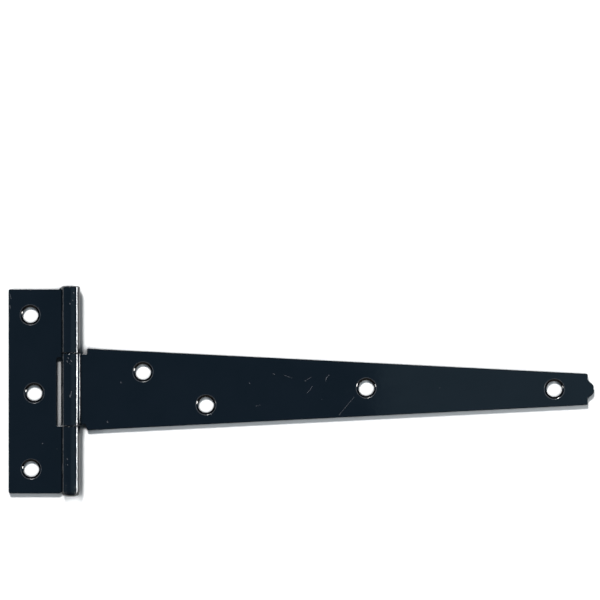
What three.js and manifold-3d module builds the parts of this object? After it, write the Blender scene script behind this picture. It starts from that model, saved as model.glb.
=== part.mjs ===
// Light tee hinge: a cross leaf and a tapered strap, each pressed from one sheet, on a peened pin.
//
// Units are millimetres. The hinge lies open and flat with its mounting faces on the plane z = 0.
// +X runs along the strap from the pin to the tip, +Y runs along the pin, and +Z points out of the
// mounting faces, to the side where the barrel stands proud. The origin is on the mounting plane,
// straight below the pin, on the strap's centreline.

import * as THREE from 'three';
import { mergeVertices } from 'three/addons/utils/BufferGeometryUtils.js';
import Module from 'manifold-3d';

const wasm = await Module();
wasm.setup();

// ---------------------------------------------------------------- driving dimensions

// Sheet and barrel.
const SHEET = 1.9;              // sheet thickness of the leaf and the strap
const BARREL_RADIUS = 4.63;     // outside of every knuckle, and the pin's height over the wall
const ROLL_END = 211;           // angle where the rolled sheet stops, just short of its own leaf
const FACET = 7.5;              // degrees of barrel that one facet covers

// Cross leaf.
const LEAF_REACH = 30.4;        // pin axis to the leaf's outer edge
const LEAF_TOP = 48.75;
const LEAF_BOTTOM = -50.6;
const LEAF_CORNER = 0.9;        // radius of the leaf's outer corners
const ROLL_TOP = 49.8;          // the rolled part of the leaf lies a little above its flat part
const ROLL_BOTTOM = -49.75;
const JOG = [5.7, 4.7];         // pin axis to where the leaf's top and bottom edges step to the roll
const SLOT_REACH = 7.1;         // pin axis to the slot's inner edge
const SLOT_TOP = 18.0;
const SLOT_BOTTOM = -17.75;
const SLOT_STEP = [2.35, 2.6];   // metal left in the slot's upper inner corner, in x and y

// Strap.
const STRAP_END = 251.1;        // pin axis to the strap's square end
const TIP_END = 254.0;          // pin axis to the nose of the nub
const NUB_BASE = 4.45;          // the nub's half width where it leaves the square end
const NUB_NOSE = 1.85;          // and at its nose, before the corner is rounded
const NUB_CORNER = 0.75;        // share of the nub's slanted side that its rounded corner takes
const SHOULDER_X = 7.75;        // where the neck meets the full width
const SHOULDER_SLANT = 0.8;     // the lower shoulder leans back by this much
const SHOULDER_HALF = 19.9;     // half width at the shoulders
const END_HALF = 7.6;           // half width at the square end
const END_CORNER = 0.7;
const NECK_START = 5.2;
const NECK_TOP = 17.25;
const NECK_BOTTOM = -17.0;
const KNUCKLE_GAP = 0.45;       // end play on each side of the strap's knuckle

// Countersunk holes for wood screws, as [x, y] of each centre.
const HOLE_RADIUS = 3.85;
const SINK_RADIUS = 5.0;
const SINK_SLOPE = 0.7;         // depth over radius: a shallow pressed countersink
const LEAF_HOLES = [[-19.9, 36.2], [-18.0, -1.7], [-19.5, -38.7]];
const STRAP_HOLES = [[34.9, 8.5], [65.5, -7.5], [143.4, 0.7], [234.8, 0.2]];
const HOLE_FACETS = 48;

// Pin.
const PIN_RADIUS = 2.6;
const HEAD_RADIUS = 4.25;       // at the base of each head
const UPPER_HEAD = { flat: 3.6, height: 0.35, rim: 0.1 };   // a thin peened disc
const LOWER_HEAD = { flat: 2.2, height: 1.9, rim: 0.5 };    // a formed dome with a flat on it
const HEAD_GAP = 0.1;           // end play under each head
const DOME_FACETS = 6;

const PAST = 2;                 // how far a cutting or limiting solid runs past the sheet

const enamel = (roughness) => new THREE.MeshStandardMaterial({
  color: 0x15191d,
  roughness,
  metalness: 0,
});

// ---------------------------------------------------------------- solids

/** Turns a closed three.js geometry into a solid that can be cut and joined. */
function solidOf(geometry) {
  const bare = geometry.clone();
  bare.deleteAttribute('normal');
  bare.deleteAttribute('uv');
  const merged = mergeVertices(bare);
  return new wasm.Manifold(new wasm.Mesh({
    numProp: 3,
    vertProperties: new Float32Array(merged.attributes.position.array),
    triVerts: new Uint32Array(merged.index.array),
  }));
}

/** Turns a solid back into a geometry that a mesh can hold. */
function geometryOf(solid) {
  const { vertProperties, triVerts } = solid.getMesh();
  const geometry = new THREE.BufferGeometry();
  geometry.setAttribute('position', new THREE.BufferAttribute(vertProperties, 3));
  geometry.setIndex(new THREE.BufferAttribute(triVerts, 1));
  geometry.computeVertexNormals();
  return geometry;
}

/** An outline in X and Y, raised from below the sheet to above the barrel. */
function raised(outline) {
  const geometry = new THREE.ExtrudeGeometry(outline, {
    depth: 2 * BARREL_RADIUS + 2 * PAST,
    bevelEnabled: false,
    curveSegments: 12,
  });
  return solidOf(geometry.translate(0, 0, -PAST));
}

/** A section in X and Z, drawn out along Y from one height to another. */
function drawnOut(section, from, to) {
  const geometry = new THREE.ExtrudeGeometry(section, { depth: to - from, bevelEnabled: false });
  const upright = new THREE.Matrix4().makeBasis(
    new THREE.Vector3(1, 0, 0),
    new THREE.Vector3(0, 0, 1),
    new THREE.Vector3(0, -1, 0),
  );
  return solidOf(geometry.applyMatrix4(upright).translate(0, to, 0));
}

// ---------------------------------------------------------------- rolled sheet

/** A point at an angle around the pin, in X and Z. */
function aroundPin(radius, degrees) {
  const angle = THREE.MathUtils.degToRad(degrees);
  return new THREE.Vector2(radius * Math.cos(angle), BARREL_RADIUS + radius * Math.sin(angle));
}

/** Corners of the flat facets around a circle, from under the pin to the end of the roll. */
function rollCorners(radius) {
  const cornerRadius = radius / Math.cos(THREE.MathUtils.degToRad(FACET / 2));
  const corners = [];
  for (let angle = -90 + FACET / 2; angle < ROLL_END; angle += FACET) {
    corners.push(aroundPin(cornerRadius, angle));
  }
  corners.push(aroundPin(radius, ROLL_END));
  return corners;
}

/**
 * Section of a flat sheet that runs in under the pin, rolls up round its far side, and comes down
 * on its own face. The sheet reaches to -X when side is 1 and to +X when side is -1.
 */
function rolledSection(reach, side) {
  const outline = [
    new THREE.Vector2(-reach, 0),
    ...rollCorners(BARREL_RADIUS),
    ...rollCorners(BARREL_RADIUS - SHEET).reverse(),
    new THREE.Vector2(-reach, SHEET),
  ];
  return new THREE.Shape(outline.map((corner) => new THREE.Vector2(side * corner.x, corner.y)));
}

/** Cuts a countersunk hole through the sheet at each of the given places. */
function withHoles(sheet, places) {
  const neck = SHEET - (SINK_RADIUS - HOLE_RADIUS) * SINK_SLOPE;
  const profile = [
    new THREE.Vector2(0, -PAST),
    new THREE.Vector2(HOLE_RADIUS, -PAST),
    new THREE.Vector2(HOLE_RADIUS, neck),
    new THREE.Vector2(SINK_RADIUS + PAST / SINK_SLOPE, SHEET + PAST),
    new THREE.Vector2(0, SHEET + PAST),
  ];
  const cutter = solidOf(new THREE.LatheGeometry(profile, HOLE_FACETS).rotateX(Math.PI / 2));
  return places.reduce((solid, [x, y]) => solid.subtract(cutter.translate([x, y, 0])), sheet);
}

// ---------------------------------------------------------------- cross leaf

/** Seen from the front: a tall rectangle with a slot for the strap's knuckle in its pin side. */
function leafOutline() {
  const left = -LEAF_REACH;
  const right = BARREL_RADIUS + PAST;
  const inner = -SLOT_REACH;
  const [stepX, stepY] = SLOT_STEP;
  const [jogStart, jogEnd] = JOG;
  const outline = new THREE.Shape();
  outline.moveTo(left + LEAF_CORNER, LEAF_BOTTOM);
  outline.lineTo(-jogStart, LEAF_BOTTOM);
  outline.lineTo(-jogEnd, ROLL_BOTTOM);
  outline.lineTo(right, ROLL_BOTTOM);
  outline.lineTo(right, SLOT_BOTTOM);
  outline.lineTo(inner, SLOT_BOTTOM);
  outline.lineTo(inner, SLOT_TOP - stepY);
  outline.lineTo(inner + stepX, SLOT_TOP - stepY);
  outline.lineTo(inner + stepX, SLOT_TOP);
  outline.lineTo(right, SLOT_TOP);
  outline.lineTo(right, ROLL_TOP);
  outline.lineTo(-jogEnd, ROLL_TOP);
  outline.lineTo(-jogStart, LEAF_TOP);
  outline.lineTo(left + LEAF_CORNER, LEAF_TOP);
  outline.quadraticCurveTo(left, LEAF_TOP, left, LEAF_TOP - LEAF_CORNER);
  outline.lineTo(left, LEAF_BOTTOM + LEAF_CORNER);
  outline.quadraticCurveTo(left, LEAF_BOTTOM, left + LEAF_CORNER, LEAF_BOTTOM);
  return outline;
}

function makeCrossLeaf() {
  const rolled = drawnOut(rolledSection(LEAF_REACH + PAST, 1), LEAF_BOTTOM - PAST, ROLL_TOP + PAST);
  const blank = rolled.intersect(raised(leafOutline()));
  const leaf = new THREE.Mesh(geometryOf(withHoles(blank, LEAF_HOLES)), enamel(0.22));
  leaf.name = 'cross_leaf';
  return leaf;
}

// ---------------------------------------------------------------- strap

/** Half of the strap's width at a distance from the pin. */
function halfWidth(x) {
  const share = (x - SHOULDER_X) / (STRAP_END - SHOULDER_X);
  return THREE.MathUtils.lerp(SHOULDER_HALF, END_HALF, share);
}

/** Seen from the front: knuckle, neck, shoulders, a straight taper, and a nub on the square end. */
function strapOutline() {
  const left = -BARREL_RADIUS - PAST;
  const knuckleTop = SLOT_TOP - KNUCKLE_GAP;
  const knuckleBottom = SLOT_BOTTOM + KNUCKLE_GAP;
  const cornerStart = STRAP_END - END_CORNER;
  const nubBendX = THREE.MathUtils.lerp(TIP_END, STRAP_END, NUB_CORNER);
  const nubBendY = THREE.MathUtils.lerp(NUB_NOSE, NUB_BASE, NUB_CORNER);
  const noseHalf = NUB_NOSE * (1 - NUB_CORNER);
  const outline = new THREE.Shape();
  outline.moveTo(left, knuckleBottom);
  outline.lineTo(NECK_START, knuckleBottom);
  outline.lineTo(NECK_START, NECK_BOTTOM);
  outline.lineTo(SHOULDER_X - SHOULDER_SLANT, NECK_BOTTOM);
  outline.lineTo(SHOULDER_X, -SHOULDER_HALF);
  outline.lineTo(cornerStart, -halfWidth(cornerStart));
  outline.quadraticCurveTo(STRAP_END, -END_HALF, STRAP_END, -END_HALF + END_CORNER);
  outline.lineTo(STRAP_END, -NUB_BASE);
  outline.lineTo(nubBendX, -nubBendY);
  outline.quadraticCurveTo(TIP_END, -NUB_NOSE, TIP_END, -noseHalf);
  outline.lineTo(TIP_END, noseHalf);
  outline.quadraticCurveTo(TIP_END, NUB_NOSE, nubBendX, nubBendY);
  outline.lineTo(STRAP_END, NUB_BASE);
  outline.lineTo(STRAP_END, END_HALF - END_CORNER);
  outline.quadraticCurveTo(STRAP_END, END_HALF, cornerStart, halfWidth(cornerStart));
  outline.lineTo(SHOULDER_X, SHOULDER_HALF);
  outline.lineTo(SHOULDER_X, NECK_TOP);
  outline.lineTo(NECK_START, NECK_TOP);
  outline.lineTo(NECK_START, knuckleTop);
  outline.lineTo(left, knuckleTop);
  return outline;
}

function makeStrap() {
  const rolled = drawnOut(rolledSection(TIP_END + PAST, -1), -SHOULDER_HALF - PAST, SHOULDER_HALF + PAST);
  const blank = rolled.intersect(raised(strapOutline()));
  const strap = new THREE.Mesh(geometryOf(withHoles(blank, STRAP_HOLES)), enamel(0.2));
  strap.name = 'strap';
  return strap;
}

// ---------------------------------------------------------------- pin

/** Half of the pin's profile: out along the shank, then round the head to the axis. */
function headProfile(shankEnd, { flat, height, rim }) {
  const dome = new THREE.EllipseCurve(
    flat,
    shankEnd + rim,
    HEAD_RADIUS - flat,
    height - rim,
    0,
    Math.PI / 2,
  );
  return [
    new THREE.Vector2(PIN_RADIUS, shankEnd),
    new THREE.Vector2(HEAD_RADIUS, shankEnd),
    ...dome.getPoints(DOME_FACETS),
    new THREE.Vector2(0, shankEnd + height),
  ];
}

function makePin() {
  const middle = (ROLL_TOP + ROLL_BOTTOM) / 2;
  const shankEnd = ROLL_TOP + HEAD_GAP - middle;
  const upper = headProfile(shankEnd, UPPER_HEAD);
  const lower = headProfile(shankEnd, LOWER_HEAD);
  lower.reverse().forEach((point) => point.set(point.x, -point.y));
  const profile = new THREE.LatheGeometry([...lower, ...upper], 360 / FACET);
  const pin = new THREE.Mesh(geometryOf(solidOf(profile)), enamel(0.25));
  pin.name = 'pin';
  pin.position.set(0, middle, BARREL_RADIUS);
  return pin;
}

// ---------------------------------------------------------------- assembly

const hinge = new THREE.Group();
hinge.add(makeCrossLeaf(), makeStrap(), makePin());

export default hinge;
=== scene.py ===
"""A light tee hinge lying open on a white table: two pressed and rolled sheets on a peened pin.

All three are coated in glossy black enamel. Shapes are worked out in millimetres and scaled to metres as
each mesh is made. +X runs along the strap, +Y along the pin and +Z away from the table.
"""

import math

import bmesh
import bpy
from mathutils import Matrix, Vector
from mathutils.geometry import tessellate_polygon


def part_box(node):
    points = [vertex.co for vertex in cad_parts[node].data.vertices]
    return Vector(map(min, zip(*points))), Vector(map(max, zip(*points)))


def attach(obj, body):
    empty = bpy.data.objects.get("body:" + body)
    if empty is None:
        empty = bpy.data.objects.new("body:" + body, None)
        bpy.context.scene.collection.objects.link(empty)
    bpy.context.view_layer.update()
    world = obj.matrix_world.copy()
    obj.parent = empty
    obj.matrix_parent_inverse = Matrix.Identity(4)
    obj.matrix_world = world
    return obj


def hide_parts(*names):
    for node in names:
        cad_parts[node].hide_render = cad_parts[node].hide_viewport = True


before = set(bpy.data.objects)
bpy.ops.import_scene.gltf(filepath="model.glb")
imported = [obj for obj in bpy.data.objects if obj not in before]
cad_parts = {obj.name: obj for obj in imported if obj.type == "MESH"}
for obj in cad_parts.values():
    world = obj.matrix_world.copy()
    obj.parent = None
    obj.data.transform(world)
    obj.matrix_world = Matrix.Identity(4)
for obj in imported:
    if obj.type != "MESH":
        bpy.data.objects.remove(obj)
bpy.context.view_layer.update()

MM = 0.001
CLOSE = 0.0005              # millimetres within which two points are the same
FILLET_STEP = 12            # most degrees between two points of a rounded corner


# ---------------------------------------------------------------- sizes, in millimetres

def cad_corners(node):
    """The lowest and highest corners of a CAD node."""
    low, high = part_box(node)
    return low / MM, high / MM


LEAF_LOW, LEAF_HIGH = cad_corners("cross_leaf")
_, STRAP_HIGH = cad_corners("strap")
PIN_LOW, PIN_HIGH = cad_corners("pin")

BARREL_RADIUS = LEAF_HIGH.z / 2
SHEET = 1.9
EDGE = 0.2                  # rounding of every sheared edge under the enamel
ROLL_SWEEP = 301            # degrees of sheet wrapped around the pin
ROLL_STEP = 4               # degrees between two rungs of the wrapped sheet

LEAF_TOP = 48.75            # the flat part of the leaf; its rolled part lies a little higher
LEAF_BOTTOM = -50.6
ROLL_TOP = LEAF_HIGH.y
ROLL_BOTTOM = -49.75
LEAF_CORNER = 0.9           # radius of the leaf's outer corners
ROLL_CORNER = 0.3           # radius of the corners at the end of each rolled tongue
JOG = (5.7, 4.7)            # pin axis to where the leaf's top and bottom edges step to the roll
JOG_CORNERS = (0.6, 0.4)    # radii at the start and the end of that step
SLOT_REACH = 7.1            # pin axis to the inner edge of the leaf's slot
SLOT_TOP = 18.0
SLOT_BOTTOM = -17.75
SLOT_STEP = (2.35, 2.6)     # metal left in the slot's upper inner corner
SLOT_CORNERS = (0.7, 0.4)   # radii of the slot's upper and lower inner corners

KNUCKLE_GAP = 0.45          # end play on each side of the strap's knuckle
NECK_START = 5.2            # pin axis to where the strap narrows beside its knuckle
NECK_NOTCH = 0.3            # length of the slant from the knuckle's width to the neck's
NECK_CORNER = 0.12
NECK_TOP = 17.25
NECK_BOTTOM = -17.0
SHOULDER = 7.75             # pin axis to the full width of the strap
SHOULDER_SLANT = 0.8        # the lower shoulder leans back by this much
SHOULDER_CORNERS = (0.5, 0.45)   # radii of the lower and the upper shoulder
SHOULDER_FOOT = 0.4         # radius where each shoulder meets the neck
END_HALF = 7.6              # half width at the strap's square end
END_CORNER = 0.7
NUB_LENGTH = 2.9            # how far the nub stands out from the square end
NUB_HALF = (4.45, 1.85)     # half width of the nub at its base and at its nose
NUB_CORNERS = (0.35, 1.5)   # radii there

RIDGE_ANGLE = 256           # degrees round the pin, from under it, to a faint ridge on the knuckle
RIDGE_HEIGHT = 0.158
RIDGE_SPREAD = 0.2          # from the ridge's crest to where it is steepest
RIDGE_STEP = 0.5            # degrees between two rungs beside the ridge
RIDGE_STEPS = 17            # rungs added on each side of it

HOLE_RADIUS = 3.85
SINK_RADIUS = 4.9
SINK_ANGLES = (37, 29)      # slope of the slightly bell-mouthed countersink at the hole and at its rim
SINK_LIP = 0.15             # rounding where the countersink meets the sheet's face
SINK_STEPS = 8              # rings from the hole to the rim of a countersink
LIP_STEPS = 4               # rings around its lip
RIM = 2                     # mark given to the rim of a countersink, against 1 for other edges; it lightens the rim all round as a painted reflection of its lip
LEAF_HOLES = [(-19.9, 36.2), (-18.0, -1.7), (-19.5, -38.7)]
STRAP_HOLES = [(34.9, 8.5), (65.5, -7.5), (143.4, 0.7), (234.8, 0.2)]

PIN_RADIUS = 2.6
HEAD_GAP = 0.1              # end play under each head
HEAD_STEPS = 8              # rings around the dome of a head
UPPER_HEAD = (3.6, 0.1, PIN_HIGH.y - ROLL_TOP - HEAD_GAP)        # radius of the flat, rim and height
LOWER_HEAD = (2.2, 0.5, ROLL_BOTTOM - HEAD_GAP - PIN_LOW.y)

SIDES = 96                  # points around a hole or the pin
WELD = 0.01                 # how far apart two rings lie where a surface turns sharply
GUARD = 0.1                 # how far past a bend lies the ring that keeps a straight wall straight
RIM_KEPT = 0.2              # how much of the height of a head's rim is unworn


# ---------------------------------------------------------------- mesh helpers

def make_object(name, points, normals, faces, edge_share):
    """A smooth closed mesh from points in millimetres, with its own normals and a mask of worn edges and of
    countersink rims that take a painted reflection.
    """
    mesh = bpy.data.meshes.new(name)
    mesh.from_pydata([Vector(p) * MM for p in points], [], faces)
    shell = bmesh.new()
    shell.from_mesh(mesh)
    bmesh.ops.recalc_face_normals(shell, faces=shell.faces)
    shell.to_mesh(mesh)
    shell.free()
    mesh.shade_smooth()
    mesh.normals_split_custom_set_from_vertices([Vector(n).normalized() for n in normals])
    mask = mesh.attributes.new("edge_share", "FLOAT", "POINT")
    mask.data.foreach_set("value", edge_share)
    piece = bpy.data.objects.new(name, mesh)
    bpy.context.scene.collection.objects.link(piece)
    return piece


def fillet(before, corner, after, radius):
    """Points and outward normals along the arc that rounds one corner of an outline."""
    back = (before - corner).normalized()
    ahead = (after - corner).normalized()
    turn = math.pi - back.angle(ahead)
    outward = 1 if ahead.cross(back) > 0 else -1
    centre = corner + (back + ahead).normalized() * radius / math.cos(turn / 2)
    spoke = corner + back * radius * math.tan(turn / 2) - centre
    steps = max(2, math.ceil(math.degrees(turn) / FILLET_STEP))
    arc = []
    for step in range(steps + 1):
        angle = outward * turn * step / steps
        arm = Vector((
            spoke.x * math.cos(angle) - spoke.y * math.sin(angle),
            spoke.x * math.sin(angle) + spoke.y * math.cos(angle),
        ))
        arc.append((centre + arm, arm.normalized() * outward))
    return arc


def rounded_outline(corners):
    """A counterclockwise outline of (x, y, radius) corners as points with outward normals."""
    places = [Vector((x, y)) for x, y, radius in corners]
    outline = []
    for i, (x, y, radius) in enumerate(corners):
        outline += fillet(places[i - 1], places[i], places[(i + 1) % len(places)], radius)
    return outline


def with_stations(outline, stations):
    """Adds a point at every station on the sides that run along the sheet, so that they can bend there."""
    dense = []
    for i, (point, normal) in enumerate(outline):
        dense.append((point, normal))
        following = outline[(i + 1) % len(outline)][0]
        if abs(point.y - following.y) > CLOSE:
            continue
        low, high = sorted((point.x, following.x))
        between = [s for s in stations if low + CLOSE < s < high - CLOSE]
        for station in sorted(between, reverse=following.x < point.x):
            dense.append((Vector((station, point.y)), normal))
    return dense


def edge_levels():
    """How far each level of the sheet's edge lies in from the outline, its height and its tilt."""
    tilts = [math.radians(angle) for angle in (0, 22.5, 45, 67.5, 90)]
    lower = [(EDGE * (1 - math.cos(tilt)), EDGE * (1 - math.sin(tilt)), -tilt) for tilt in tilts]
    upper = [(inset, SHEET - height, -tilt) for inset, height, tilt in lower]
    return lower[::-1] + upper


def sink_levels():
    """Radius, height, tilt and edge mark of each ring of a countersunk hole, from the back face to the
    front. The rim's mark gives it a painted reflection.
    """
    levels = [(HOLE_RADIUS + inset, height, tilt, 0) for inset, height, tilt in edge_levels()[:5]]
    steep, shallow = (math.radians(angle) for angle in SINK_ANGLES)
    bell = (SINK_RADIUS - HOLE_RADIUS) / (math.sin(steep) - math.sin(shallow))
    lip_centre = (SINK_RADIUS + SINK_LIP * math.sin(shallow), SHEET - SINK_LIP)
    bell_top = lip_centre[1] + SINK_LIP * math.cos(shallow)
    bell_foot = bell_top - bell * (math.cos(shallow) - math.cos(steep))
    levels.append((HOLE_RADIUS, bell_foot - GUARD, 0, 0))
    for step in range(SINK_STEPS + 1):
        lean = steep + (shallow - steep) * step / SINK_STEPS
        radius = HOLE_RADIUS + bell * (math.sin(steep) - math.sin(lean))
        height = bell_top - bell * (math.cos(shallow) - math.cos(lean))
        levels.append((radius, height, math.pi / 2 - lean, RIM if step == SINK_STEPS else 0))
    for step in range(1, LIP_STEPS + 1):
        lean = shallow * (1 - step / LIP_STEPS)
        radius = lip_centre[0] - SINK_LIP * math.sin(lean)
        levels.append((radius, lip_centre[1] + SINK_LIP * math.cos(lean), math.pi / 2 - lean, RIM))
    levels.append((lip_centre[0] + 2 * GUARD, SHEET, math.pi / 2, 0))
    return levels


def rolled(side, ridge, u, y, z, normal):
    """Wraps the part of a blank that lies past the pin (u below 0) up and round the pin.

    The blank is mirrored to its side of the pin. A ridge stands out from the back face, which becomes the
    outside of the knuckle.
    """
    angle = max(0, -u / BARREL_RADIUS)
    along = Vector((side * math.cos(angle), 0, -math.sin(angle)))
    inward = Vector((side * math.sin(angle), 0, math.cos(angle)))
    centre = Vector((0, y, BARREL_RADIUS))
    base = centre - inward * BARREL_RADIUS + along * max(0, u)
    off_ridge = -u - BARREL_RADIUS * math.radians(RIDGE_ANGLE)
    rise = ridge * math.exp(-(off_ridge / RIDGE_SPREAD) ** 2 / 2)
    point = base + inward * (z - rise * (1 - z / SHEET))
    turned = along * normal[0] + Vector((0, normal[1], 0)) + inward * normal[2]
    turned -= along * max(0, -normal[2]) * rise * off_ridge / RIDGE_SPREAD ** 2
    return point, turned


def roll_stations(ridge):
    """How far past the pin each rung of the wrapped sheet lies, closer together over a ridge."""
    angles = set(range(0, ROLL_SWEEP - ROLL_STEP, ROLL_STEP))
    if ridge:
        angles |= {RIDGE_ANGLE + step * RIDGE_STEP for step in range(-RIDGE_STEPS, RIDGE_STEPS + 1)}
    return [-BARREL_RADIUS * math.radians(angle) for angle in sorted(angles)]


def sheet(name, side, corners, tongues, holes, ridge=0.0):
    """One pressed sheet: its blank outline with countersunk holes, and each tongue rolled round the pin.

    The blank is drawn as seen from the front with u running from the pin out along the sheet.
    """
    stations = roll_stations(ridge)
    outline = with_stations(rounded_outline(corners), stations)
    count = len(outline)
    points, normals, wear_and_rim_sheen, faces = [], [], [], []

    def add(u, y, z, normal, wear_or_rim_sheen):
        point, turned = rolled(side, ridge, u, y, z, normal)
        points.append(point)
        normals.append(turned)
        wear_and_rim_sheen.append(wear_or_rim_sheen)
        return len(points) - 1

    levels = edge_levels()
    for inset, height, tilt in levels:
        for place, outward in outline:
            spot = place - outward * inset
            normal = (outward.x * math.cos(tilt), outward.y * math.cos(tilt), math.sin(tilt))
            wear_or_rim_sheen = 1 - abs(abs(tilt) * 4 / math.pi - 1)     # 1 halfway round the edge, 0 at its ends
            add(spot.x, spot.y, height, normal, wear_or_rim_sheen)
    for level in range(len(levels) - 1):
        for i in range(count):
            ahead = (i + 1) % count
            low, high = level * count, (level + 1) * count
            faces.append((low + i, low + ahead, high + ahead, high + i))

    hole_rings = []
    for x, y in holes:
        rings = []
        for radius, height, tilt, wear_or_rim_sheen in sink_levels():
            ring = []
            for k in range(SIDES):
                angle = 2 * math.pi * k / SIDES
                out = Vector((math.cos(angle), math.sin(angle)))
                normal = (-out.x * math.cos(tilt), -out.y * math.cos(tilt), math.sin(tilt))
                ring.append(add(side * x + out.x * radius, y + out.y * radius, height, normal, wear_or_rim_sheen))
            rings.append(ring)
        for lower, upper in zip(rings, rings[1:]):
            for k in range(SIDES):
                ahead = (k + 1) % SIDES
                faces.append((lower[k], lower[ahead], upper[ahead], upper[k]))
        hole_rings.append(rings)

    flat = [i for i, (place, outward) in enumerate(outline) if place.x > -CLOSE]
    for top in (False, True):
        base = (len(levels) - 1) * count if top else 0
        loops = [[base + i for i in flat]] + [rings[-1 if top else 0] for rings in hole_rings]
        order = [index for loop in loops for index in loop]
        flat_loops = [[Vector((side * points[i].x, points[i].y, 0)) for i in loop] for loop in loops]
        for triangle in tessellate_polygon(flat_loops):
            faces.append(tuple(order[i] for i in triangle))
        for bottom_y, top_y in tongues:
            sides = []
            for y in (bottom_y, top_y):
                on_side = [i for i, (place, outward) in enumerate(outline)
                           if abs(place.y - y) < CLOSE and any(abs(place.x - s) < CLOSE for s in stations)]
                sides.append(sorted(on_side, key=lambda i: -outline[i][0].x))
            for k in range(len(stations) - 1):
                faces.append((base + sides[0][k], base + sides[0][k + 1],
                              base + sides[1][k + 1], base + sides[1][k]))
            first, last = sides[1][-1], sides[0][-1]
            span = (last - first) % count
            faces.append(tuple(base + (first + i) % count for i in range(span + 1)))

    return make_object(name, points, normals, faces, wear_and_rim_sheen)


# ---------------------------------------------------------------- pieces

def make_leaf():
    """The tall leaf: two tongues rolled round the pin, with a slot between them for the strap's knuckle."""
    reach = -LEAF_LOW.x
    end = -BARREL_RADIUS * math.radians(ROLL_SWEEP)
    jog_start, jog_end = JOG
    step_x, step_y = SLOT_STEP
    corners = [
        (reach, LEAF_BOTTOM, LEAF_CORNER),
        (reach, LEAF_TOP, LEAF_CORNER),
        (jog_start, LEAF_TOP, JOG_CORNERS[0]),
        (jog_end, ROLL_TOP, JOG_CORNERS[1]),
        (end, ROLL_TOP, ROLL_CORNER),
        (end, SLOT_TOP, ROLL_CORNER),
        (SLOT_REACH - step_x, SLOT_TOP, ROLL_CORNER),
        (SLOT_REACH - step_x, SLOT_TOP - step_y, ROLL_CORNER),
        (SLOT_REACH, SLOT_TOP - step_y, SLOT_CORNERS[0]),
        (SLOT_REACH, SLOT_BOTTOM, SLOT_CORNERS[1]),
        (end, SLOT_BOTTOM, ROLL_CORNER),
        (end, ROLL_BOTTOM, ROLL_CORNER),
        (jog_end, ROLL_BOTTOM, JOG_CORNERS[1]),
        (jog_start, LEAF_BOTTOM, JOG_CORNERS[0]),
    ]
    tongues = [(ROLL_BOTTOM, SLOT_BOTTOM), (SLOT_TOP, ROLL_TOP)]
    return sheet("leaf_shell", -1, corners, tongues, LEAF_HOLES)


def make_strap():
    """The tapered strap: one tongue rolled round the pin, and a small rounded nub at the other end."""
    shoulder_half = STRAP_HIGH.y
    top, bottom = SLOT_TOP - KNUCKLE_GAP, SLOT_BOTTOM + KNUCKLE_GAP
    end = -BARREL_RADIUS * math.radians(ROLL_SWEEP)
    neck = NECK_START + NECK_NOTCH
    nose = STRAP_HIGH.x
    square_end = nose - NUB_LENGTH
    nub_base, nub_nose = NUB_HALF
    corners = [
        (end, bottom, ROLL_CORNER),
        (NECK_START, bottom, NECK_CORNER),
        (neck, NECK_BOTTOM, NECK_CORNER),
        (SHOULDER - SHOULDER_SLANT, NECK_BOTTOM, SHOULDER_FOOT),
        (SHOULDER, -shoulder_half, SHOULDER_CORNERS[0]),
        (square_end, -END_HALF, END_CORNER),
        (square_end, -nub_base, NUB_CORNERS[0]),
        (nose, -nub_nose, NUB_CORNERS[1]),
        (nose, nub_nose, NUB_CORNERS[1]),
        (square_end, nub_base, NUB_CORNERS[0]),
        (square_end, END_HALF, END_CORNER),
        (SHOULDER, shoulder_half, SHOULDER_CORNERS[1]),
        (SHOULDER, NECK_TOP, SHOULDER_FOOT),
        (neck, NECK_TOP, NECK_CORNER),
        (NECK_START, top, NECK_CORNER),
        (end, top, ROLL_CORNER),
    ]
    return sheet("strap_shell", 1, corners, [(bottom, top)], STRAP_HOLES, RIDGE_HEIGHT)


def head_profile(base, head_radius, head):
    """Radius, height and tilt of each ring of one head, from the shank out and round to its flat."""
    flat, rim, height = head
    bevel = rim / 3
    profile = [
        (PIN_RADIUS, base - WELD, 0),
        (PIN_RADIUS + WELD, base, -90),
        (head_radius - bevel, base, -90),
        (head_radius, base + bevel, 0),
        (head_radius, base + rim, 0),
    ]
    for step in range(1, HEAD_STEPS + 1):
        angle = math.radians(90 * step / HEAD_STEPS)
        across = flat + (head_radius - flat) * math.cos(angle)
        up = base + rim + (height - rim) * math.sin(angle)
        slope = math.atan2(math.sin(angle) * (head_radius - flat), math.cos(angle) * (height - rim))
        profile.append((across, up, math.degrees(slope)))
    return profile


def make_pin():
    """The pin turned about its own axis, with a head over each end."""
    middle = (ROLL_TOP + ROLL_BOTTOM) / 2
    base = ROLL_TOP + HEAD_GAP - middle
    head_radius = (PIN_HIGH.x - PIN_LOW.x) / 2
    lower = head_profile(base, head_radius, LOWER_HEAD)
    profile = [(radius, -height, -tilt) for radius, height, tilt in reversed(lower)]
    profile += head_profile(base, head_radius, UPPER_HEAD)
    points, normals, wear_and_rim_sheen, faces = [], [], [], []
    for radius, height, tilt in profile:
        lean = math.radians(tilt)
        for k in range(SIDES):
            angle = 2 * math.pi * k / SIDES
            out = Vector((math.cos(angle), 0, math.sin(angle)))
            points.append(Vector((0, middle + height, BARREL_RADIUS)) + out * radius)
            normals.append(out * math.cos(lean) + Vector((0, math.sin(lean), 0)))
            wear_and_rim_sheen.append(0.5 if abs(height) > base + RIM_KEPT else 0)
    for ring in range(len(profile) - 1):
        for k in range(SIDES):
            ahead = (k + 1) % SIDES
            low, high = ring * SIDES, (ring + 1) * SIDES
            faces.append((low + k, low + ahead, high + ahead, high + k))
    faces.append(tuple(range(SIDES)))
    faces.append(tuple(range((len(profile) - 1) * SIDES, len(profile) * SIDES)))
    return make_object("pin_headed", points, normals, faces, wear_and_rim_sheen)


# ---------------------------------------------------------------- materials

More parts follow.
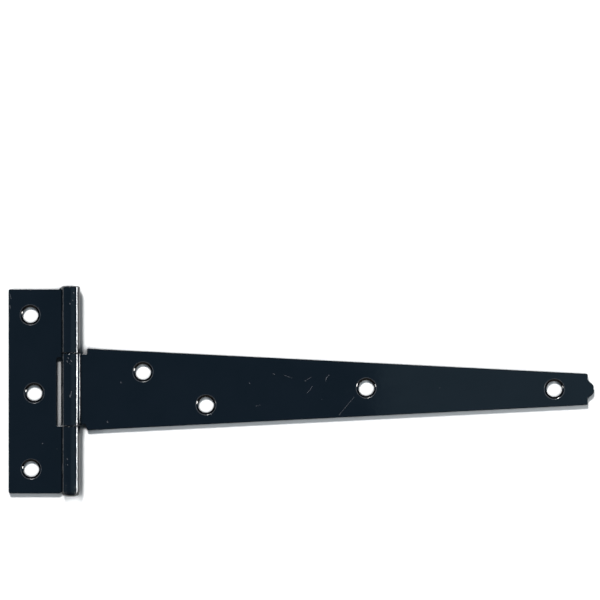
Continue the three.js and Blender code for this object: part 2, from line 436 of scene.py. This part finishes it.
class Nodes:
    """Short ways to add and join nodes in one tree."""

    def __init__(self, tree):
        self.tree = tree

    def add(self, kind, inputs=(), **settings):
        node = self.tree.nodes.new(kind)
        for key, value in settings.items():
            setattr(node, key, value)
        for key, value in dict(inputs).items():
            self.feed(node.inputs[key], value)
        return node

    def feed(self, socket, value):
        if isinstance(value, bpy.types.NodeSocket):
            self.tree.links.new(value, socket)
        else:
            socket.default_value = value

    def math(self, operation, first, second=0.0):
        return self.add("ShaderNodeMath", {0: first, 1: second}, operation=operation).outputs[0]

    def vector(self, operation, first, second):
        return self.add("ShaderNodeVectorMath", {0: first, 1: second}, operation=operation).outputs[0]

    def dot(self, first, second):
        node = self.add("ShaderNodeVectorMath", {0: first, 1: second}, operation="DOT_PRODUCT")
        return node.outputs["Value"]

    def scaled(self, vector, scale):
        return self.add("ShaderNodeVectorMath", {0: vector, "Scale": scale}, operation="SCALE").outputs[0]

    def ramp(self, value, low, high, to_low=0.0, to_high=1.0):
        """Maps low to high smoothly onto to_low to to_high."""
        inputs = {"Value": value, "From Min": low, "From Max": high, "To Min": to_low, "To Max": to_high}
        return self.add("ShaderNodeMapRange", inputs, interpolation_type="SMOOTHSTEP").outputs[0]

    def noise(self, place, per_mm, detail=2.0, roughness=0.5):
        inputs = {"Vector": place, "Scale": per_mm, "Detail": detail, "Roughness": roughness}
        return self.add("ShaderNodeTexNoise", inputs).outputs["Fac"]

    def blend(self, share, first, second):
        """Mixes two colours."""
        node = self.add("ShaderNodeMix", data_type="RGBA")
        self.feed(node.inputs["Factor"], share)
        first_colour, second_colour = [socket for socket in node.inputs if socket.type == "RGBA"]
        self.feed(first_colour, first)
        self.feed(second_colour, second)
        return next(socket for socket in node.outputs if socket.type == "RGBA")


def mark_mask(nodes, place, height, marks):
    """1 on each scratch or nick, given as (x0, y0, x1, y1, half width) on the front, and 0 elsewhere."""
    on_plane = nodes.vector("MULTIPLY", place, (1, 1, 0))
    total = 0.0
    for x0, y0, x1, y1, half_width in marks:
        span = Vector((x1 - x0, y1 - y0, 0))
        offset = nodes.vector("SUBTRACT", on_plane, (x0, y0, 0))
        share = nodes.dot(offset, span / max(span.length_squared, CLOSE))
        share = nodes.add("ShaderNodeClamp", {"Value": share}).outputs[0]
        away = nodes.vector("SUBTRACT", offset, nodes.scaled(tuple(span), share))
        distance = nodes.add("ShaderNodeVectorMath", {0: away}, operation="LENGTH").outputs["Value"]
        mark = nodes.ramp(distance, half_width * 0.5, half_width * 1.5, 1.0, 0.0)
        total = nodes.math("MAXIMUM", total, mark)
    return nodes.math("MULTIPLY", total, nodes.ramp(height, SHEET * 0.7, SHEET * 0.9))


ENAMEL_DEEP = (0.0009, 0.0019, 0.0031, 1)
ENAMEL_THIN = (0.0015, 0.0026, 0.0042, 1)
ENAMEL_MOTTLED = (0.0022, 0.0028, 0.0048, 1)
DUST = (0.06, 0.065, 0.075, 1)
RUBBED_EDGE = (0.05, 0.052, 0.055, 1)
# Painted reflection: a light ring on each countersink's rim, standing in for the light its lip would
# mirror.
PAINTED_RIM_SHEEN = (0.085, 0.088, 0.095, 1)
BROKEN_ENAMEL = (0.12, 0.125, 0.14, 1)


def enamel(name, marks, seed, hammering):
    """Stoved black enamel: glossy, faintly rippled, with dust nibs, rubbed edges and a few nicks, and a
    painted reflection lightening each countersink's rim.

    Hammering is the depth in millimetres of the dents in what stands well above the sheet.
    """
    material = bpy.data.materials.new(name)
    material.use_nodes = True
    nodes = Nodes(material.node_tree)
    surface = material.node_tree.nodes["Principled BSDF"]
    coordinates = nodes.add("ShaderNodeTexCoord").outputs["Object"]
    place = nodes.scaled(coordinates, 1 / MM)
    place_seeded = nodes.vector("ADD", place, (seed, 2 * seed, 3 * seed))
    height = nodes.add("ShaderNodeSeparateXYZ", {0: place}).outputs["Z"]

    cloud = nodes.noise(place_seeded, 0.05, 3.0)
    mottle = nodes.noise(place_seeded, 0.9, 3.0, 0.6)
    ripple = nodes.noise(place_seeded, 0.45, 1.0)
    peel = nodes.noise(place_seeded, 1.6, 1.0)
    smear = nodes.noise(nodes.vector("MULTIPLY", place_seeded, (0.12, 0.5, 0.5)), 0.4, 4.0, 0.6)

    nib_cells = nodes.add("ShaderNodeTexVoronoi", {"Vector": place_seeded, "Scale": 0.16})
    nib_size = nodes.add("ShaderNodeSeparateColor", {0: nib_cells.outputs["Color"]}).outputs[0]
    nib_reach = nodes.ramp(nib_size, 0.45, 1.0, 0.0, 0.045)
    nibs = nodes.math("LESS_THAN", nib_cells.outputs["Distance"], nib_reach)

    edge = nodes.add("ShaderNodeAttribute", attribute_name="edge_share").outputs["Fac"]
    rub = nodes.ramp(nodes.noise(place_seeded, 0.35, 4.0, 0.7), 0.52, 0.68)
    rubbed = nodes.math("MULTIPLY", nodes.add("ShaderNodeClamp", {"Value": edge}).outputs[0], rub)
    # Painted reflection: each countersink's rim is lightened all round, with mottle, in place of the light
    # its lip mirrors.
    rim = nodes.math("MULTIPLY", nodes.ramp(edge, 1.0, RIM), nodes.ramp(mottle, 0.2, 0.6, 0.35, 1.0))
    marked = mark_mask(nodes, place, height, marks)
    broken = nodes.math("MULTIPLY", marked, nodes.ramp(nodes.noise(place, 2.2, 3.0, 0.7), 0.35, 0.6))

    colour = nodes.blend(nodes.ramp(cloud, 0.35, 0.65), ENAMEL_DEEP, ENAMEL_THIN)
    colour = nodes.blend(nodes.ramp(mottle, 0.3, 0.8, 0.0, 0.5), colour, ENAMEL_MOTTLED)
    colour = nodes.blend(nodes.math("MULTIPLY", nibs, 0.5), colour, DUST)
    colour = nodes.blend(nodes.math("MULTIPLY", rubbed, 0.35), colour, RUBBED_EDGE)
    # Painted reflection on the countersink rims.
    colour = nodes.blend(nodes.math("MULTIPLY", rim, 0.9), colour, PAINTED_RIM_SHEEN)
    colour = nodes.blend(nodes.math("MULTIPLY", broken, 0.8), colour, BROKEN_ENAMEL)
    nodes.feed(surface.inputs["Base Color"], colour)

    rough = nodes.ramp(smear, 0.35, 0.75, 0.045, 0.12)
    rough = nodes.math("ADD", rough, nodes.math("MULTIPLY", nodes.math("MAXIMUM", rubbed, rim), 0.2))
    rough = nodes.math("ADD", rough, nodes.math("MULTIPLY", broken, 0.35))
    nodes.feed(surface.inputs["Roughness"], rough)

    relief = nodes.math("ADD", nodes.math("MULTIPLY", ripple, 0.006), nodes.math("MULTIPLY", peel, 0.0015))
    relief = nodes.math("ADD", relief, nodes.math("MULTIPLY", nibs, 0.02))
    relief = nodes.math("SUBTRACT", relief, nodes.math("MULTIPLY", broken, 0.03))
    hammered = nodes.ramp(height, SHEET * 1.5, SHEET * 2.5, 0.0, hammering)
    relief = nodes.math("ADD", relief, nodes.math("MULTIPLY", nodes.noise(place, 0.7, 2.0), hammered))
    bump = nodes.add("ShaderNodeBump", {"Height": relief, "Distance": MM, "Strength": 1.0})
    nodes.feed(surface.inputs["Normal"], bump.outputs[0])
    surface.inputs["IOR"].default_value = 1.5
    return material


# ---------------------------------------------------------------- stage

FRAME_WIDTH = 291.5         # what the picture's width covers, in millimetres
FRAME_CENTRE = (111.2, 43.44)
LENS = 150

BEAM_BLEND = 0.06           # share of the spot's beam that fades out at its edge
BEAM_SOURCE = 0.002         # metres

FLOOR_HALF = 6.0            # metres
FLOOR_DROP = 0.0001         # metres that the table lies under the hinge
GAP_REACH = 0.02            # metres within which the hinge's nearness paints shade into the table's colour
PAINTED_GAP_SHADE = (0.17, 0.175, 0.18, 1)
FLOOR_WHITE = (0.9, 0.895, 0.887, 1)

ROOM = (0.02, 0.016, 0.012, 1)
CEILING_BAND = (0.12, 0.23, 0.36, 1)
WARM_WALL = (0.24, 0.2, 0.15, 1)


def place_light(name, lamp, place, target):
    """Hangs a lamp at a place in metres, facing its target."""
    holder = bpy.data.objects.new(name, lamp)
    holder.location = place
    holder.rotation_mode = "QUATERNION"
    holder.rotation_quaternion = (Vector(target) - Vector(place)).to_track_quat("-Z", "Y")
    bpy.context.scene.collection.objects.link(holder)
    return holder


def area_light(name, place, target, size, power, colour=(1, 1, 1)):
    """A rectangular lamp with its size in metres."""
    lamp = bpy.data.lights.new(name, "AREA")
    lamp.shape = "RECTANGLE"
    lamp.size, lamp.size_y = size
    lamp.energy = power
    lamp.color = colour
    place_light(name, lamp, place, target)


def snoot_light(name, place, target, beam, power):
    """A spot lamp that lights one small patch and is in no reflection, with its beam's width in degrees."""
    lamp = bpy.data.lights.new(name, "SPOT")
    lamp.spot_size = math.radians(beam)
    lamp.spot_blend = BEAM_BLEND
    lamp.shadow_soft_size = BEAM_SOURCE
    lamp.energy = power
    place_light(name, lamp, place, target).visible_glossy = False


def make_floor():
    """A white table whose colour is painted grey, as shade, where the hinge shuts the light out of a narrow
    gap.
    """
    mesh = bpy.data.meshes.new("table")
    corners = [(-1, -1), (1, -1), (1, 1), (-1, 1)]
    points = [(x * FLOOR_HALF, y * FLOOR_HALF, -FLOOR_DROP) for x, y in corners]
    mesh.from_pydata(points, [], [(0, 1, 2, 3)])
    floor = bpy.data.objects.new("table", mesh)
    bpy.context.scene.collection.objects.link(floor)
    material = bpy.data.materials.new("table_white")
    material.use_nodes = True
    nodes = Nodes(material.node_tree)
    surface = material.node_tree.nodes["Principled BSDF"]
    openness = nodes.add("ShaderNodeAmbientOcclusion", {"Distance": GAP_REACH}).outputs["AO"]
    # Painted shade: the table's colour goes grey where the hinge hems it in.
    colour = nodes.blend(nodes.ramp(openness, 0.33, 0.68), PAINTED_GAP_SHADE, FLOOR_WHITE)
    nodes.feed(surface.inputs["Base Color"], colour)
    surface.inputs["Roughness"].default_value = 0.8
    mesh.materials.append(material)


def make_world():
    """A dark room with a dim blue band of ceiling along the strap, and a warm wall on its -Y side."""
    world = bpy.data.worlds.new("studio")
    world.use_nodes = True
    nodes = Nodes(world.node_tree)
    direction = nodes.add("ShaderNodeTexCoord").outputs["Generated"]
    parts = nodes.add("ShaderNodeSeparateXYZ", {0: direction})
    band = nodes.ramp(nodes.math("ABSOLUTE", parts.outputs["Y"]), 0.1, 0.22, 1.0, 0.0)
    wall = nodes.math(
        "MULTIPLY",
        nodes.ramp(parts.outputs["Y"], -0.45, -0.9, 0.0, 1.0),
        nodes.ramp(parts.outputs["Z"], 0.2, 0.8, 1.0, 0.0),
    )
    colour = nodes.blend(band, ROOM, CEILING_BAND)
    colour = nodes.blend(wall, colour, WARM_WALL)
    nodes.feed(world.node_tree.nodes["Background"].inputs["Color"], colour)
    bpy.context.scene.world = world


def make_lights():
    """A far key lamp, low lamps for the glints, a panel over the tip and a spot below the barrel's end."""
    target = Vector((FRAME_CENTRE[0] * MM, 0, 0))
    towards_key = Vector((-0.27, 1.1, 1)).normalized()
    key_distance = 5
    area_light("key", target + towards_key * key_distance, target, (1.0, 1.0), 395)
    area_light("barrel_strip", (1.5, -0.055, 0.07), (0, -0.055, 0.07), (0.45, 0.14), 13, (0.97, 0.99, 1))
    area_light("right_lamp", (1.3, -0.42, 0.68), (0, 0, 0), (0.36, 0.14), 6.5, (1, 0.99, 0.97))
    area_light("left_lamp", (-1.1, -0.4, 0.75), (0, 0, 0), (0.35, 0.12), 2.6)
    area_light("tip_panel", (0.93, 0.04, 1.0), (0.93, 0.04, 0), (1.5, 1.5), 1.4, (0.7, 1, 1.1))
    snoot_light("end_spot", (0.0015, -0.273, 0.22), (0.0015, -0.0711, 0), 5.0, 5.5)


def make_camera():
    """A camera that looks straight down."""
    camera = bpy.data.cameras.new("camera")
    camera.lens = LENS
    holder = bpy.data.objects.new("camera", camera)
    height = SHEET + FRAME_WIDTH * LENS / camera.sensor_width
    holder.location = Vector((*FRAME_CENTRE, height)) * MM
    bpy.context.scene.collection.objects.link(holder)
    bpy.context.scene.camera = holder


# ---------------------------------------------------------------- assembly

# Nicks and scratches in the enamel, as (x0, y0, x1, y1, half width).
LEAF_MARKS = [
    (1.9, 47.0, 2.0, 46.6, 0.2),
    (1.2, 43.6, 1.4, 43.1, 0.16),
    (0.1, 41.8, 0.1, 41.5, 0.2),
    (-1.2, -33.2, -1.1, -33.6, 0.25),
    (-1.1, -36.1, -1.0, -36.3, 0.16),
    (-13.9, -26.2, -13.8, -26.4, 0.2),
    (0.4, 18.1, 1.3, 18.05, 0.14),
    (-29.6, 46.1, -29.2, 44.0, 0.1),
    (-29.7, 40.8, -29.5, 39.2, 0.1),
]
STRAP_MARKS = [
    (-0.9, 15.6, -0.5, 15.1, 0.2),
    (-1.3, 14.0, -1.1, 13.5, 0.18),
    (0.5, 14.4, 0.9, 13.8, 0.2),
    (0.0, 12.9, 0.1, 12.6, 0.12),
    (0.9, -0.6, 0.3, -3.5, 0.12),
    (0.1, -2.4, 0.0, -3.6, 0.12),
    (24.2, 3.4, 24.3, 3.2, 0.3),
    (17.6, -15.6, 17.7, -15.9, 0.25),
    (67.9, -12.0, 68.1, -12.2, 0.25),
    (86.5, 3.2, 86.9, 2.9, 0.18),
    (98.1, 7.7, 99.0, 7.2, 0.1),
    (103.6, 6.9, 107.3, 5.5, 0.07),
    (113.7, 4.1, 116.6, 6.0, 0.12),
    (114.6, -1.7, 116.0, -0.4, 0.08),
    (116.0, -0.4, 117.1, 1.6, 0.1),
    (123.7, 4.1, 124.0, 5.6, 0.12),
    (124.0, 5.6, 125.3, 7.0, 0.1),
    (89.8, -8.1, 92.0, -7.6, 0.07),
    (130.2, -12.4, 137.5, -3.7, 0.08),
    (178.8, 0.7, 179.2, 0.6, 0.14),
]

BARREL_HAMMERING = 0.06
PIN_HAMMERING = 0.25
SEED_STEP = 40.0            # millimetres between the places in the noise that two pieces are cut from

PIECES = [
    (make_leaf(), "leaf", "cross_leaf", "leaf_enamel", LEAF_MARKS, BARREL_HAMMERING),
    (make_strap(), "strap", "strap", "strap_enamel", STRAP_MARKS, BARREL_HAMMERING),
    (make_pin(), "leaf", "pin", "pin_enamel", [], PIN_HAMMERING),
]
for order, (piece, body, node, slot, marks, hammering) in enumerate(PIECES):
    piece.data.materials.append(enamel(slot, marks, SEED_STEP * order, hammering))
    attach(piece, body)
    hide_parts(node)

make_floor()
make_world()
make_lights()
make_camera()
bpy.context.scene.view_settings.view_transform = "Standard"
